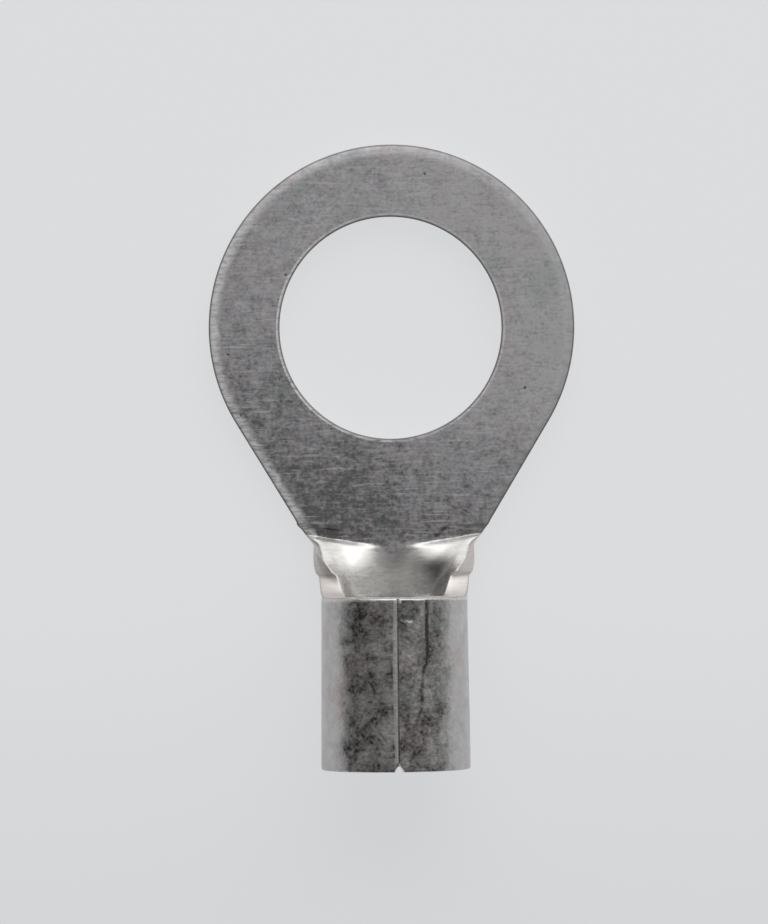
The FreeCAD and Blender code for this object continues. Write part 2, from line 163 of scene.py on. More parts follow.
def halfOutline(side):
    # Outer nodes P on the outline and inner nodes Q a band's width inside it, from the ring's tip
    # round one side to the middle of the wire end: arc, taper, fillet, neck, shoulder, rim, seam, end
    angle = math.radians(sheet["taperAngle"])
    ca, sa = math.cos(angle), math.sin(angle)
    neck = sheet["neckHalf"]
    fillet = sheet["neckFillet"]
    rim, end = sheet["rimAt"], sheet["endAt"]
    shoulder = sheet["shoulderRadius"]
    ringBand, neckBand, rimBand, endBand = (edge[k] for k in ("ringBand", "neckBand", "rimBand", "endBand"))
    parts = []

    turn = np.linspace(0.0, math.pi / 2 + angle, rows["ring"] + 1)
    nx, ns = np.sin(turn), -np.cos(turn)
    radius = sheet["ringRadius"]
    parts.append((nx * radius, ns * radius, nx * (radius - ringBand), ns * (radius - ringBand)))

    tangentX, tangentS = ca * radius, sa * radius
    cornerS = tangentS + (tangentX - neck) * ca / sa
    cut = fillet * math.tan(angle / 2)
    arcS = cornerS + cut                                  # the fillet's centre line
    startX, startS = neck + sa * cut, cornerS - ca * cut   # where it leaves the taper
    chordX = tangentX - (sheet["chordAt"] + ringBand * sa - tangentS) * sa / ca
    chordS = sheet["chordAt"] + ringBand * sa
    for x0, s0, x1, s1, count in (
        (tangentX, tangentS, chordX, chordS, rows["taper"]),
        (chordX, chordS, startX, startS, rows["neckTop"]),
    ):
        f = np.linspace(0.0, 1.0, count + 1)[1:]
        px, ps = x0 + (x1 - x0) * f, s0 + (s1 - s0) * f
        band = ringBand + (neckBand - ringBand) * smooth((ps - chordS) / (startS - chordS))
        drawn = sheet["taperDraw"] * np.clip((ps - chordS) / (startS - chordS), 0.0, 1.0)
        parts.append((px - drawn, ps, px - ca * band - drawn, ps - sa * band))

    turn = angle * (1.0 - np.linspace(0.0, 1.0, rows["fillet"] + 1)[1:])
    cx = neck + fillet - sheet["taperDraw"]
    parts.append((cx - fillet * np.cos(turn), arcS - fillet * np.sin(turn),
                  cx - (fillet + neckBand) * np.cos(turn), arcS - (fillet + neckBand) * np.sin(turn)))

    ps = arcS + (sheet["shoulderAt"] - arcS) * np.linspace(0.0, 1.0, rows["neck"] + 1)[1:]
    share = smooth((ps - arcS) / (sheet["shoulderAt"] - arcS))
    px = neck - sheet["taperDraw"] * (1.0 - share)
    parts.append((px, ps, px - sheet["step"] * share - neckBand - (rimBand - neckBand) * share, ps))

    # the shoulder starts a step wider, and the step ends on the arc
    turn = np.linspace(0.0, math.pi / 2, rows["shoulder"] + 1)[1:]
    cx = neck - sheet["step"] + shoulder
    ps = sheet["shoulderAt"] + shoulder * np.sin(turn)
    step = sheet["step"] * (1.0 - smooth((ps - sheet["stepAt"] + sheet["stepLength"]) / sheet["stepLength"]))
    parts.append((cx - shoulder * np.cos(turn) + step, ps,
                  cx - (shoulder + rimBand) * np.cos(turn),
                  sheet["shoulderAt"] + (shoulder + rimBand) * np.sin(turn)))

    f = np.linspace(0.0, 1.0, rows["wing"] + 1)[1:]
    px = cx + (seamHalf(rim, side) - cx) * f
    qx = cx + (seamHalf(rim, side) - edge["seamBand"] - cx) * f
    parts.append((px, rim + 0 * f, qx, rim + rimBand + 0 * f))

    f = np.linspace(0.0, 1.0, rows["barrel"] + 1)[1:]
    ps = rim + (end - rim) * f
    qs = rim + rimBand + (end - endBand - rim - rimBand) * f
    plain = seamHalf(np.minimum(qs, end - sheet["mouthLength"]), side)
    parts.append((seamHalf(ps, side), ps, plain - edge["seamBand"], qs))

    f = np.linspace(1.0, 0.0, rows["wing"] + 1)[1:]
    px = cx + (seamHalf(end, side) - cx) * f
    qx = cx + (plain[-1] - edge["seamBand"] - cx) * f
    parts.append((px, end + 0 * f, qx, end - endBand + 0 * f))
    f = np.linspace(1.0, 0.0, rows["centre"] + 1)[1:]
    parts.append((cx * f, end + 0 * f, cx * f, end - endBand + 0 * f))

    px, ps, qx, qs = (np.concatenate(c) for c in zip(*parts))
    counts = np.cumsum([len(p[0]) for p in parts]) - 1     # the last node of each run
    return px, ps, qx, qs, counts


# the last nodes of the taper's first run, the fillet, the shoulder, the rim and the seam
iChord, iFillet, iShoulder, iRim, iSeam = halfOutline(1)[4][[1, 3, 5, 6, 7]]


def edgeValue(kind, seamSide, ps):
    # A value of the edge band along the outline, eased from one run of the outline to the next
    ring, neck, rim, end = (edge[name + kind] for name in ("ring", "neck", "rim", "end"))
    seam = edge["seam" + kind + seamSide] if "seam" + kind + seamSide in edge else edge["seam" + kind]
    values = np.empty(len(ps))
    values[: iChord + 1] = ring
    f = smooth((ps[iChord: iFillet + 1] - ps[iChord]) / (ps[iFillet] - ps[iChord]))
    values[iChord: iFillet + 1] = ring + f * (neck - ring)
    start, stop = sheet["stepAt"] - sheet["stepLength"], sheet["stepAt"]
    if kind == "Roll":
        start, stop = edge["rollFade"]
    f = smooth((ps[iFillet: iShoulder + 1] - start) / (stop - start))
    values[iFillet: iShoulder + 1] = neck + f * (rim - neck)
    values[iShoulder: iRim + 1] = rim
    values[iRim: iSeam + 1] = seam
    ease = smooth(np.arange(rows["ease"] + 1) / rows["ease"])
    values[iRim: iRim + len(ease)] = rim + ease * (seam - rim)
    values[iSeam:] = end
    values[iSeam + 1 - len(ease): iSeam + 1] = seam + ease * (end - seam)
    return values


# What the forming tools and handling left on the two faces of the strip, in mm. A pair is a place
# and the length over which something starts there, or ends where the length is negative.
relief = {
    "creaseAt": 8.27, "creaseBow": 0.05, "creaseLift": 0.001, "creaseWidth": 0.11,
    "scoopEarly": 0.03, "scoopFade": 0.06,      # how the burnished scoop starts at the crease
    "middleHalf": 0.8, "middleFade": 1.1, "middleLate": 0.35,   # and later near the middle
    "ramp": 0.12, "rampLength": 0.85, "rampShape": (1.4, -0.9, 0.2),
    "rampFrom": (0.15, 1.1), "rampTo": (1.3, 0.9), "rampDrop": 0.4, "rampEnd": (11.6, -1.2),
    "valley": 0.065, "valleyLength": 0.42, "valleyRise": 0.11, "valleyFoot": 0.8, "valleyFrom": (0.8, 0.9),
    "imprint": 0.02, "imprintWidth": 0.05, "imprintFrom": (2.25, 0.3), "imprintTo": (3.7, -0.2),
    "imprintAt": 7.56, "imprintSlope": 0.07, "imprintStart": 2.4,
    "waviness": 0.006, "topWave": 2.6, "underWave": 2.2, "topWaveEnd": (7.6, -0.8),
}

# The bright dent beside the seam, near the rim
dent = {
    "x": 6.79, "s": 10.97, "length": 0.15, "width": 0.05, "tilt": 0.12, "depth": 0.07,
    "from": (10.3, 0.3),    # only behind the rim
}


def creaseLine(x):
    # Where the flat tongue ends: a smile, s = at - bow x^2 + lift x^4
    return relief["creaseAt"] - relief["creaseBow"] * x * x + relief["creaseLift"] * x ** 4


def scoopShare(x, s):
    # 1 on the burnished scoop, which starts at the crease, and later and softly near the middle
    middle = np.exp(-(x / relief["middleHalf"]) ** 4)
    length = relief["scoopFade"] + relief["middleFade"] * middle
    return smooth((s - creaseLine(x) + relief["scoopEarly"]) / length + 0.5 - relief["middleLate"] * middle)


def topCurl(x, s):
    # The inside of the strip starts to curl at the crease, not before it
    return curl(s) * smooth((s - creaseLine(x)) / relief["creaseWidth"] + 0.5)


def topRelief(x, s):
    # Height of the upper face over its plain height: shallow waves on the tongue, a ramp
    # a r + b r^2 + c r^3 that rises from the crease, a trough before it, and a tool's imprint
    across, past = np.abs(x), s - creaseLine(x)
    h = relief["waviness"] * waves(x, s, relief["topWave"], seeds["top"]) * fade(s, *relief["topWaveEnd"])
    ramp = np.clip(past / relief["rampLength"], 0.0, 1.0)
    a, b, c = relief["rampShape"]
    side = fade(across, *relief["rampFrom"]) * (1.0 - relief["rampDrop"] * fade(across, *relief["rampTo"]))
    h = h + relief["ramp"] * side * (a * ramp + b * ramp ** 2 + c * ramp ** 3) * fade(s, *relief["rampEnd"])
    # the trough falls towards the crease and ends in it
    fall = np.clip(past / relief["valleyLength"] + 1.0, 0.0, 1.0)
    rise = smooth(-past / relief["valleyRise"] + relief["valleyFoot"])
    h = h - relief["valley"] * fade(across, *relief["valleyFrom"]) * fall * (2.0 - fall) * rise
    line = fade(across, *relief["imprintFrom"]) * fade(across, *relief["imprintTo"])
    at = relief["imprintAt"] + relief["imprintSlope"] * (across - relief["imprintStart"])
    return h - relief["imprint"] * line * np.exp(-((s - at) / relief["imprintWidth"]) ** 2)


def underRelief(x, s):
    # Height of the lower face, which is the outside of the barrel, over its plain height:
    # shallow waves, and the dent as a bell shape
    h = relief["waviness"] * (1.0 + waves(x, s, relief["underWave"], seeds["under"])) * 0.5
    a = (x - dent["x"]) / dent["length"]
    b = (s - dent["s"] - dent["tilt"] * (x - dent["x"])) / dent["width"]
    return h + fade(s, *dent["from"]) * dent["depth"] * np.exp(-a ** 2 - b ** 2)


# Dark marks on the upper face: x, s, half length, half width in mm, and turn in degrees
marks = (
    (1.88, 7.66, 0.22, 0.06, 35.0),
    (2.78, 6.92, 0.3, 0.05, 50.0),
    (1.62, 7.85, 0.1, 0.07, 0.0),
    (-2.35, 7.62, 0.35, 0.04, -6.0),
)

# Painted shade in the scoop, soft dark patches where it turns away from the light: x, s, half width across
# and along in mm, and strength
scoopShades = (
    (1.65, 8.97, 0.85, 0.28, 0.5),
    (2.15, 9.6, 0.4, 0.6, 0.55),
    (0.0, 8.75, 0.5, 0.35, 0.3),
    (1.8, 9.25, 0.5, 0.3, 0.3),
)


def grime(x, s):
    # Sum of bell shapes, long along each mark's turn and narrow across it
    total = np.zeros(x.shape)
    for atX, atS, length, width, turn in marks:
        c, k = math.cos(math.radians(turn)), math.sin(math.radians(turn))
        a = (x - atX) * c - (s - atS) * k
        b = (x - atX) * k + (s - atS) * c
        total = total + np.exp(-(a / length) ** 4 - (b / width) ** 2)
    return np.clip(total, 0.0, 1.0)


def scoopShade(x, s):
    # Painted shade: sum of strength times a bell shape
    return sum(k * np.exp(-((x - atX) / a) ** 2 - ((s - atS) / b) ** 2) for atX, atS, a, b, k in scoopShades)


def roll(x, s, h):
    # The strip rolled up: turn = x times curvature, X = (radius less h) sin turn,
    # Z = radius less (radius less h) cos turn, with series for a curvature near none
    k = topCurl(x, s) * (h / sheet["thick"]) + curl(s) * (1.0 - h / sheet["thick"])
    k = np.where(s > sheet["rimAt"] - sheet["rollAlike"], curl(s), k)
    turn = k * x
    flat = np.abs(turn) < 1e-5
    safe = np.where(flat, 1.0, k)
    sinc = np.where(flat, x, np.sin(turn) / safe)
    rise = np.where(flat, turn * x / 2, (1.0 - np.cos(turn)) / safe)
    half = sheet["thick"] / 2
    return np.stack([sinc * (1.0 + k * (half - h)), -s,
                     rise * (1.0 + k * half) + h * np.cos(turn)], axis=-1)


print("stage 2: the grids of the terminal")

patches = []
awayFromEdge = 2.0      # the edge coordinate V of the faces, which is the distance from the outline
holeStart = 60.0        # U runs along the outline, up to about 40, and from here on round the hole
mergeWithin = 2e-7      # metres between points of two grids that are one point


def addPatch(x, s, h, mirror, flip, edgeU, edgeV, cut):
    # Keeps one grid of points, with its faces turned outwards and its edge coordinates
    x = -x if mirror else x
    outside = np.clip(1.0 - h / sheet["thick"], 0.0, 1.0)
    # painted shade: a dark stripe on the upper part of the left cut face
    dark = fade(s, *edge["darkFrom"]) * fade(s, *edge["darkTo"]) * fade(outside, *edge["darkDepth"])
    values = {
        "cutFace": np.broadcast_to(cut, x.shape),
        "outside": outside,
        "scoop": scoopShare(x, s) * (1.0 - outside),
        "grime": grime(x, s) * (1.0 - outside),
        # painted shade in the scoop
        "scoopShade": np.clip(scoopShade(x, s) * (1.0 - outside), 0.0, 1.0),
        "darkCut": cut * (x < 0) * dark,
    }
    edgeU = np.broadcast_to(edgeU, x.shape) * (-1 if mirror else 1)
    patches.append((roll(x, s, h), mirror != flip, edgeU, np.broadcast_to(edgeV, x.shape), values))


def facePatch(x, s, mirror, edgeU, flip=False):
    # The same grid on the upper and on the lower face of the strip
    side = -1 if mirror else 1
    addPatch(x, s, sheet["thick"] + topRelief(side * x, s), mirror, flip, edgeU, awayFromEdge, 0.0)
    addPatch(x, s, underRelief(side * x, s), mirror, not flip, edgeU, awayFromEdge, 0.0)


def bandProfile(depth, broken, tear, band):
    # The edge's section, from the upper face round to the lower: share of the band from inside
    # to outline, and depth below the upper face: quarter ellipse, wall that leans in where it
    # tore, quarter circle, flat
    depth, broken, tear, band = (v[:, None] for v in (depth, broken, tear, band))
    a = np.linspace(0.0, math.pi / 2, rows["rollover"] + 1)[None, :]
    out = [np.sin(a) + 0 * depth]
    low = [depth * (1.0 - np.cos(a))]
    w = np.linspace(0.0, 1.0, rows["wall"] + 1)[None, 1:]
    out.append(1.0 - tear / band * fade(w, *edge["tearFrom"]))
    low.append(depth + w * (sheet["thick"] - depth - broken))
    c = np.linspace(0.0, math.pi / 2, rows["corner"] + 1)[None, 1:]
    out.append(1.0 - (tear + broken * (1.0 - np.cos(c))) / band)
    low.append(sheet["thick"] - broken * (1.0 - np.sin(c)))
    f = (np.linspace(0.0, 1.0, rows["under"] + 1)[None, 1:]) ** 1.5     # closer rows near the outline
    out.append((1.0 - (tear + broken) / band) * (1.0 - f))
    low.append(sheet["thick"] + 0 * f + 0 * depth)
    return np.concatenate(out, 1), np.concatenate(low, 1)


def bandPatch(outX, outS, inX, inS, mirror, depth, broken, tear, edgeU, flip=False):
    # The edge's section carried along the outline
    band = np.hypot(outX - inX, outS - inS)
    share, low = bandProfile(depth, broken, tear, band)
    side = -1 if mirror else 1
    x = inX[:, None] + (outX - inX)[:, None] * share
    s = inS[:, None] + (outS - inS)[:, None] * share
    top = sheet["thick"] + topRelief(side * x, s)
    under = underRelief(side * x, s)
    h = under + (top - under) * (1.0 - low / sheet["thick"])
    cut = np.zeros(x.shape[1])
    cut[rows["rollover"]: rows["rollover"] + rows["wall"] + 1] = 1.0
    addPatch(x, s, h, mirror, flip, edgeU[:, None], band[:, None] * (1.0 - share), cut[None, :])


def columnGrid(xEdge, s, count):
    # Straight rows from the middle line out to xEdge
    f = np.linspace(0.0, 1.0, count + 1)[None, :]
    return xEdge[:, None] * f, s[:, None] + 0 * f


for mirror in (False, True):
    px, ps, qx, qs, _ = halfOutline(-1 if mirror else 1)
    seamSide = "Left" if mirror else "Right"
    px = px + sheet["bulge" + seamSide] * np.exp(-((ps - sheet["bulgeAt"]) / sheet["bulgeLength"]) ** 2)
    along = np.concatenate([[0.0], np.cumsum(np.hypot(np.diff(px), np.diff(ps)))])
    depth, broken, tear = (edgeValue(kind, seamSide, ps) for kind in ("Roll", "Break", "Tear"))
    # the roll is uneven, but not where the two sides meet
    more, start, length = edge["unevenMore"]
    uneven = edge["unevenNeck"] + more * fade(ps, start, length)
    uneven = uneven * smooth(along / edge["unevenEnds"]) * smooth((along[-1] - along) / edge["unevenEnds"])
    depth = depth * (1.0 + uneven * waves(along, 0 * along, edge["unevenLength"], seeds["roll"] + mirror))
    # the rim is uneven between the shoulder and the seam
    short, length = sheet["rimWaveTo"]
    free = fade(px, *sheet["rimWaveFrom"]) * smooth((px[iRim] - short - px) / length)
    free = free * (np.abs(ps - sheet["rimAt"]) < 1e-6)
    height, length = sheet["rimWave"]
    ps = ps + height * waves(px, 0 * px, length, seeds["rim"] + mirror) * free
    bandPatch(px, ps, qx, qs, mirror, depth, broken, tear, along)

    # tongue: rays from the hole to the band, and to the chord where the neck starts
    chord = np.linspace(qx[iChord], 0.0, rows["centre"] + 1)[1:]
    farX = np.concatenate([qx[: iChord + 1], chord])
    farS = np.concatenate([qs[: iChord + 1], np.full(len(chord), qs[iChord])])
    farU = np.concatenate([along[: iChord + 1], np.full(len(chord), along[iChord])])
    reach = np.hypot(farX, farS)
    ux, us = farX / reach, farS / reach
    hole, holeBand = sheet["holeRadius"], edge["holeBand"]
    shiftX, shiftS = sheet["holeShift"]
    shiftX = -shiftX if mirror else shiftX
    nearX, nearS = ux * (hole + holeBand) + shiftX, us * (hole + holeBand) + shiftS
    f = np.linspace(0.0, 1.0, rows["radial"] + 1)[None, :]
    x = nearX[:, None] * (1 - f) + farX[:, None] * f
    s = nearS[:, None] * (1 - f) + farS[:, None] * f
    facePatch(x, s, mirror, farU[:, None], flip=True)
    depth, broken, tear = (np.full(len(ux), edge["hole" + kind]) for kind in ("Roll", "Break", "Tear"))
    bandPatch(ux * hole + shiftX, us * hole + shiftS, nearX, nearS, mirror, depth, broken, tear,
              holeStart + np.arctan2(ux, -us) * hole, flip=True)

    # neck: rows from the chord to the end of the shoulder
    x, s = columnGrid(qx[iChord: iShoulder + 1], qs[iChord: iShoulder + 1], rows["centre"])
    facePatch(x, s, mirror, along[iChord: iShoulder + 1, None])

    # barrel: its middle strip and its wing, on the seam's rows
    rowS = qs[iRim: iSeam + 1]
    inner = qx[iShoulder]
    x, s = columnGrid(np.full(len(rowS), inner), rowS, rows["centre"])
    facePatch(x, s, mirror, 0.0)
    f = np.linspace(0.0, 1.0, rows["wing"] + 1)[None, :]
    x = inner + (qx[iRim: iSeam + 1, None] - inner) * f
    facePatch(x, rowS[:, None] + 0 * f, mirror, 0.0)


def meshFromPatches(name):
    # Joins the grids, merges the points they share and turns every face outwards
    points, faces, edgeUv, values, start = [], [], [], [], 0
    for grid, flip, edgeU, edgeV, patchValues in patches:
        m, n = grid.shape[:2]
        index = start + np.arange(m * n).reshape(m, n)
        quads = np.stack([index[:-1, :-1], index[1:, :-1], index[1:, 1:], index[:-1, 1:]], -1).reshape(-1, 4)
        faces.append(quads[:, ::-1] if flip else quads)
        points.append(grid.reshape(-1, 3))
        edgeUv.append(np.stack([edgeU.ravel(), edgeV.ravel()], -1))
        values.append(patchValues)
        start += m * n
    points, faces, edgeUv = (np.concatenate(v) for v in (points, faces, edgeUv))
    mesh = bpy.data.meshes.new(name)
    mesh.from_pydata(points * mm, [], faces)
    layer = mesh.uv_layers.new(name="edge")
    layer.data.foreach_set("uv", edgeUv[faces.ravel()].ravel().astype(np.float32))
    for key in values[0]:
        ofPoints = np.concatenate([v[key].ravel() for v in values]).astype(np.float32)
        mesh.attributes.new(key, "FLOAT", "POINT").data.foreach_set("value", ofPoints)
    work = bmesh.new()
    work.from_mesh(mesh)
    bmesh.ops.remove_doubles(work, verts=work.verts, dist=mergeWithin)
    bmesh.ops.recalc_face_normals(work, faces=work.faces)
    work.to_mesh(mesh)
    openEdges = sum(1 for e in work.edges if len(e.link_faces) != 2)
    volume = work.calc_volume(signed=True) / mm ** 3
    work.free()
    mesh.shade_smooth()
    print(name, len(mesh.polygons), "faces,", openEdges, "open edges,", round(volume, 2), "mm3")
    piece = bpy.data.objects.new(name, mesh)
    bpy.context.scene.collection.objects.link(piece)
    return piece


terminal = meshFromPatches("stamped_terminal")
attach(terminal, "root")
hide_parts("ring_terminal")

print("stage 3: materials")


def linear(code):
    # sRGB hex to linear light: (c + 0.055) / 1.055 to the power 2.4, or c / 12.92 when dark
    values = [int(code[i: i + 2], 16) / 255 for i in (1, 3, 5)]
    return [v / 12.92 if v <= 0.04045 else ((v + 0.055) / 1.055) ** 2.4 for v in values] + [1.0]


def add(tree, kind, settings=None, span=(), **links):
    # Adds a node, sets its properties and sockets, and links each socket that is given an output,
    # or a node for its first output in use. i6 is the socket of that number, and span is for the
    # sockets after the first: where a range starts and stops, and the values it goes between.
    node = tree.nodes.new("ShaderNode" + kind)
    for key, value in (settings or {}).items():
        setattr(node, key, value)
    for socket, value in zip(node.inputs[1:], span):
        socket.default_value = value
    for key, value in links.items():
        socket = node.inputs[int(key[1:]) if key[1:].isdigit() else key.replace("_", " ")]
        if isinstance(value, bpy.types.Node):
            value = next(output for output in value.outputs if output.enabled)
        if isinstance(value, bpy.types.NodeSocket):
            tree.links.new(value, socket)
        else:
            socket.default_value = value
    return node


def newMaterial(name):
    material = bpy.data.materials.new(name)
    material.use_nodes = True
    material.node_tree.nodes.clear()
    return material, material.node_tree


# settings of the nodes; a Mix node's sockets are 0 share, 2 and 3 numbers, 6 and 7 colours
eased = {"interpolation_type": "SMOOTHSTEP"}
times, plus, minus, timesPlus, larger, smaller, isBelow, isAbove, unsigned = (
    {"operation": name} for name in ("MULTIPLY", "ADD", "SUBTRACT", "MULTIPLY_ADD", "MAXIMUM", "MINIMUM",
                                     "LESS_THAN", "GREATER_THAN", "ABSOLUTE"))
timesClamped = {"operation": "MULTIPLY", "use_clamp": True}
plusClamped = {"operation": "ADD", "use_clamp": True}
numbers = {"data_type": "FLOAT"}
colours = {"data_type": "RGBA"}
tinted = {"data_type": "RGBA", "blend_type": "MULTIPLY"}

# Matte electroplated tin over punched copper strip. Tin plating is a soft white metal: it mirrors
# its surroundings softly, takes fine rubbing marks from the barrel of parts it was plated in, and
# greys unevenly with handling, most on the outside of the rolled barrel.
tin = {
    "grainSize": 0.13,       # mm, the fine speckle
    "mottleSize": 0.42,      # mm, the greyed patches of the tongue
    "patchSize": 0.7,        # mm, those of the barrel
    "castSize": 1.3,         # mm, faint pink and green casts
    "cloudSize": 5.0,        # mm, the broad change of tone
    "rubSize": 0.11,         # mm, across the rubbing marks, which run across the strip
    "hairSize": 0.09,        # mm, across the hair scratches, drawn coarser than real ones to show
    "pitSize": 0.75,         # mm between pits
    "streakSize": 0.15,      # mm, across the pale streaks of the rolled edge
    "shearSize": 0.09,       # mm, between the marks of the punch across a cut face
    "bumpHeight": 0.02,      # mm
    # scale of each pattern along its long side, against 1 across it
    "grainStretch": 0.85, "rubStretch": 0.14, "streakStretch": 0.22, "hairStretch": 0.06,
    "shearStretch": 0.15,
    "dark": "#848384", "plain": "#c6c4c7", "light": "#e6e4e6", "edge": "#f6f5f4",
    # pit is also the colour of the painted shade in the scoop and on the left cut face
    "scoop": "#eae8e4", "cut": "#fbf5f1", "pit": "#4b4947",
    "patinaDark": "#3f3c3a", "patinaLight": "#d2d0cf",
    "pinkCast": "#f7e8ea", "greenCast": "#d9ebe4", "patinaPink": "#f4dcd6", "patinaGreen": "#d4e4d6",
}

# Where each finish lies on the terminal. Two numbers are where a range starts and stops, and four
# have the values before and after it too.
finish = {
    "pitRagged": 0.12 * mm, "pitShare": 0.12, "pitEdge": (0.0, 0.03), "pitStrength": 0.75,
    "tone": (-0.4, 1.05, 0.85, 0.3, 0.5),       # start, and shares of mottle, grain, rub and cloud
    "hairTurns": ((0.6, 3.0), (-0.9, 7.0)),     # turn of the scratches, and where their noise starts
    "hair": (0.63, 0.73, 0.0, 0.28),
    "foot": (-8.5 * mm, 1.0 * mm, -0.52, -0.16),    # painted shade: the foot of the tongue is darker than the ring
    "rightward": 21.0,                              # and its left is darker than its right, per metre; both painted shade, away from the light
    "rampStops": ((0.3, "dark"), (0.62, "plain"), (0.95, "light")),
    "pink": (0.52, 0.72, 0.0, 0.5), "green": (0.46, 0.28, 0.0, 0.5),
    "edgeMottle": 0.5, "edgeReach": (0.4, 0.75, 1.0, 0.0), "streaks": (0.34, 0.56),
    "paleLeft": (-4.0 * mm, 4.0 * mm, 1.0, 0.2),     # the left side's edge is the paler one
    "tip": (2.0 * mm, 6.0 * mm, 1.0, 0.22),
    "greyRight": (0.0, 4.0 * mm, 0.0, 0.35),
    "outline": (0.03, 0.085, 0.9, 0.0),
    "scoopTone": (0.3, 0.7, 0.8, 1.0),
    "barrelFrom": (-10.12 * mm, -10.2 * mm),
    "rimClean": (0.12, 0.17, 1.0, 0.0), "rimStop": -10.35 * mm,
    "seamClean": (0.145, 0.2, 1.0, 0.0), "seamStop": -16.3 * mm,
    "cleanGrey": -0.85, "seamBright": 0.36, "rimBrighter": 0.06,
    "patina": (-1.2, 2.0, 1.35),                # start, and shares of the patches and the grain
    # leftShade: painted shade, the patina darker left of the barrel's middle, which faces the dark left of
    # the studio
    "leftShade": (-1.4 * mm, -0.2 * mm, -0.22, 0.0),
    "sideRagged": 0.7 * mm, "side": (1.8 * mm, 2.6 * mm, 0.0, 0.7), "sideTone": 0.95,
    # darkCut: painted shade, how dark the left cut's stripe is
    "beforeShoulder": (-9.3 * mm, -9.6 * mm, 0.24, 0.0), "darkCut": 0.26,    # the cut is darker before the shoulder than from it on
    "shear": (0.35, 0.65, 0.07, -0.04), "shearBump": 0.8,
    "rough": (0.3, 0.7, 0.24, 0.36), "scoopRough": (0.3, 0.7, 0.25, 0.31), "edgeRough": 0.6,
    "torn": 0.3, "cutRough": (0.5, 0.7, 0.48, 0.6),     # burnished near the top, torn and dull below
    "rubBump": 0.5, "dirtBump": -0.8, "bump": 0.45, "scoopBump": -0.39, "patinaBump": 0.45,
}

# The dark scratch along the barrel's right side, which bends towards the seam
scratch = {
    "firstBend": (-12.2 * mm, -13.4 * mm, 1.19 * mm, 0.99 * mm),
    "lastBend": (-13.9 * mm, -15.5 * mm, 0.0, 0.35 * mm),
    "wander": 0.2 * mm, "shiver": 0.12 * mm, "shift": 0.16 * mm,
    "width": (0.03 * mm, 0.105 * mm, 1.0, 0.0),
    "gaps": (0.66, 0.5, 0.3, 0.95),
    "end": (-15.8 * mm, -14.2 * mm),
    "above": 3.0 * mm,
}

# how often each pattern repeats in a metre
perMetre = {name: 1000 / tin[name + "Size"] for name in (
    "grain", "mottle", "patch", "cast", "cloud", "rub", "hair", "pit", "streak", "shear")}

material, tree = newMaterial("matte electroplated tin on punched copper")
place = add(tree, "TexCoord").outputs["Object"]
axes = add(tree, "SeparateXYZ", i0=place).outputs
edgeUv = add(tree, "UVMap", {"uv_map": "edge"})
edgeAxes = add(tree, "SeparateXYZ", i0=edgeUv).outputs
cut, outside, scoop, grimeMark, scoopShaded, darkCut = (
    add(tree, "Attribute", {"attribute_name": name}).outputs["Fac"]
    for name in ("cutFace", "outside", "scoop", "grime", "scoopShade", "darkCut"))

# the patterns, each scaled by its real size
wide = add(tree, "Mapping", Vector=place, Scale=(tin["grainStretch"], 1.0, 1.0))
grain = add(tree, "TexNoise", Vector=wide, Scale=perMetre["grain"], Detail=3.0, Roughness=0.7)
mottle = add(tree, "TexNoise", Vector=wide, Scale=perMetre["mottle"], Detail=5.0, Roughness=0.7)
cloud = add(tree, "TexNoise", Vector=place, Scale=perMetre["cloud"], Detail=2.0, Roughness=0.5)
cast = add(tree, "TexNoise", Vector=place, Scale=perMetre["cast"], Detail=4.0, Roughness=0.6,
           Distortion=0.6)
patch = add(tree, "TexNoise", Vector=place, Scale=perMetre["patch"], Detail=6.0, Roughness=0.68,
            Distortion=0.4)
stretched = add(tree, "Mapping", Vector=place, Scale=(tin["rubStretch"], 1.0, 1.0))
rub = add(tree, "TexNoise", Vector=stretched, Scale=perMetre["rub"], Detail=2.0, Roughness=0.6)
stretched = add(tree, "Mapping", Vector=place, Scale=(tin["streakStretch"], 1.0, 1.0))
streak = add(tree, "TexNoise", Vector=stretched, Scale=perMetre["streak"], Detail=4.0, Roughness=0.65)
# U and V are in mm, so this one's scale is for each mm
stretched = add(tree, "Mapping", Vector=edgeUv, Scale=(1.0, tin["shearStretch"], 1.0))
shear = add(tree, "TexNoise", Vector=stretched, Scale=perMetre["shear"] * mm, Detail=4.0, Roughness=0.6)
ragged = add(tree, "VectorMath", timesPlus, i0=grain.outputs["Color"], i1=[finish["pitRagged"]] * 3, i2=place)
pits = add(tree, "TexVoronoi", Vector=ragged, Scale=perMetre["pit"])
pit = add(tree, "Math", times, i0=pits.outputs["Color"], i1=finish["pitShare"])
pit = add(tree, "Math", minus, i0=pit, i1=pits.outputs["Distance"])
pit = add(tree, "MapRange", eased, Value=pit, span=finish["pitEdge"])

# tone of the flat faces: mottle, grain, hair scratches and rubbing marks together
tone, *shares = finish["tone"]
for pattern, share in zip((mottle, grain), shares):
    tone = add(tree, "Math", timesPlus, i0=pattern, i1=share, i2=tone)
for turn, start in finish["hairTurns"]:
    lay = add(tree, "Mapping", Vector=place, Rotation=(0.0, 0.0, turn), Location=(start, 0.0, 0.0),
              Scale=(tin["hairStretch"], 1.0, 1.0))
    hair = add(tree, "TexNoise", Vector=lay, Scale=perMetre["hair"], Detail=1.0)
    hair = add(tree, "MapRange", Value=hair, span=finish["hair"])
    tone = add(tree, "Math", plus, i0=tone, i1=hair)
for pattern, share in zip((rub, cloud), shares[2:]):
    tone = add(tree, "Math", timesPlus, i0=pattern, i1=share, i2=tone)
